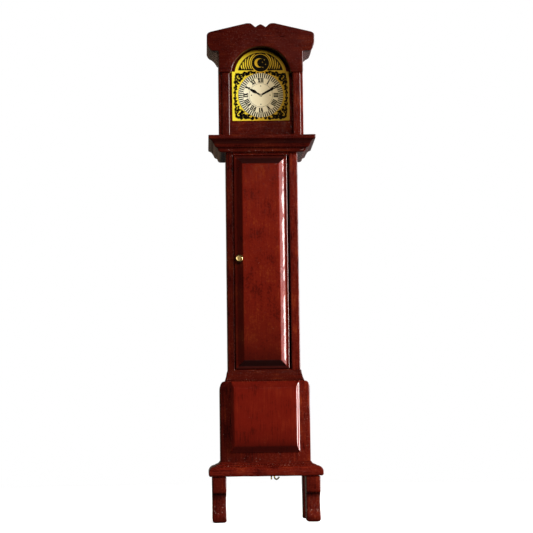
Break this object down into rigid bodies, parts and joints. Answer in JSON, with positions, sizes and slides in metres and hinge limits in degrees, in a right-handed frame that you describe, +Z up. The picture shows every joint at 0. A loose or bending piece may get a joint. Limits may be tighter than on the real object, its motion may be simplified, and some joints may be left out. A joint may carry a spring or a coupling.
{
  "type": "dolls' house longcase clock",
  "caption": "Slim lacquered wooden longcase clock on bracket feet, with an arched printed dial, a hinged trunk door, and hanging brass weights, chains and pendulum.",
  "frame": {"origin": "on the floor under the middle of the case, at the bottom centre of the bounding box", "axes": "+Z up through the hood, -Y out of the dial towards the viewer, +X to the viewer's right"},
  "size_m": [0.041, 0.0299, 0.1813],
  "materials": {
    "case_mahogany": "dark red mahogany stain under thick glossy lacquer",
    "panel_mahogany": "brighter red-brown mahogany stain under thick glossy lacquer",
    "dial_foil": "thin gold foil sheet with a printed black and cream dial",
    "brass": "polished wire and turned brass, slightly tarnished"
  },
  "bodies": {
    "case": {"foot_front_left": "case_mahogany", "foot_front_right": "case_mahogany", "foot_rear_left": "case_mahogany", "foot_rear_right": "case_mahogany", "base_front": "case_mahogany", "base_back": "case_mahogany", "base_side_left": "case_mahogany", "base_side_right": "case_mahogany", "deck_strip_front": "case_mahogany", "deck_strip_left": "case_mahogany", "deck_strip_right": "case_mahogany", "plinth_moulding_front": "case_mahogany", "plinth_moulding_left": "case_mahogany", "plinth_moulding_right": "case_mahogany", "cove_moulding_front": "case_mahogany", "cove_moulding_left": "case_mahogany", "cove_moulding_right": "case_mahogany", "trunk_side_left": "case_mahogany", "trunk_side_right": "case_mahogany", "trunk_back": "case_mahogany", "stile_left": "case_mahogany", "stile_right": "case_mahogany", "top_rail": "case_mahogany", "bottom_rail": "case_mahogany", "door_stop": "case_mahogany", "cornice_front": "case_mahogany", "cornice_left": "case_mahogany", "cornice_right": "case_mahogany", "seat_board": "case_mahogany", "hood_side_left": "case_mahogany", "hood_side_right": "case_mahogany", "hood_back": "case_mahogany", "hood_roof": "case_mahogany", "hood_post_left": "case_mahogany", "hood_post_right": "case_mahogany", "hood_front": "case_mahogany", "crown_moulding_left": "case_mahogany", "crown_moulding_right": "case_mahogany", "dial_board": "case_mahogany", "base_panel": "panel_mahogany", "dial_plate": "dial_foil", "hinge_pin_top": "brass", "hinge_pin_bottom": "brass", "weight_eye_left": "brass", "weight_eye_right": "brass", "tail_eye_left": "brass", "tail_eye_right": "brass", "pendulum_hook": "brass"},
    "trunk_door": {"trunk_door": "panel_mahogany", "door_knob": "brass"},
    "pendulum": {"pendulum_rod": "brass", "pendulum_bob": "brass"},
    "weight_left": {"weight_left": "brass", "weight_chain_left": "brass"},
    "weight_right": {"weight_right": "brass", "weight_chain_right": "brass"},
    "chain_tail_left": {"chain_tail_left": "brass", "chain_hook_left": "brass"},
    "chain_tail_right": {"chain_tail_right": "brass", "chain_hook_right": "brass"}
  },
  "joints": [
    {"name": "trunk_door_hinge", "type": "hinge", "parent": "case", "child": "trunk_door", "pos_m": [0.00845, -0.00675, 0.0937], "axis": [0, 0, 1], "range_deg": [0, 95]},
    {"name": "pendulum_swing", "type": "hinge", "parent": "case", "child": "pendulum", "pos_m": [0, 0.007, 0.1353], "axis": [0, 1, 0], "range_deg": [-4, 4]},
    {"name": "weight_left_swing", "type": "hinge", "parent": "case", "child": "weight_left", "pos_m": [-0.0056, -0.0015, 0.1348], "axis": [0, 1, 0], "range_deg": [-2.5, 2.5]},
    {"name": "weight_right_swing", "type": "hinge", "parent": "case", "child": "weight_right", "pos_m": [0.0056, -0.0015, 0.1348], "axis": [0, 1, 0], "range_deg": [-2.5, 2.5]},
    {"name": "chain_tail_left_swing", "type": "hinge", "parent": "case", "child": "chain_tail_left", "pos_m": [-0.003, 0.003, 0.1348], "axis": [0, 1, 0], "range_deg": [-1.2, 1.2]},
    {"name": "chain_tail_right_swing", "type": "hinge", "parent": "case", "child": "chain_tail_right", "pos_m": [0.003, 0.003, 0.1348], "axis": [0, 1, 0], "range_deg": [-1.2, 1.2]}
  ]
}
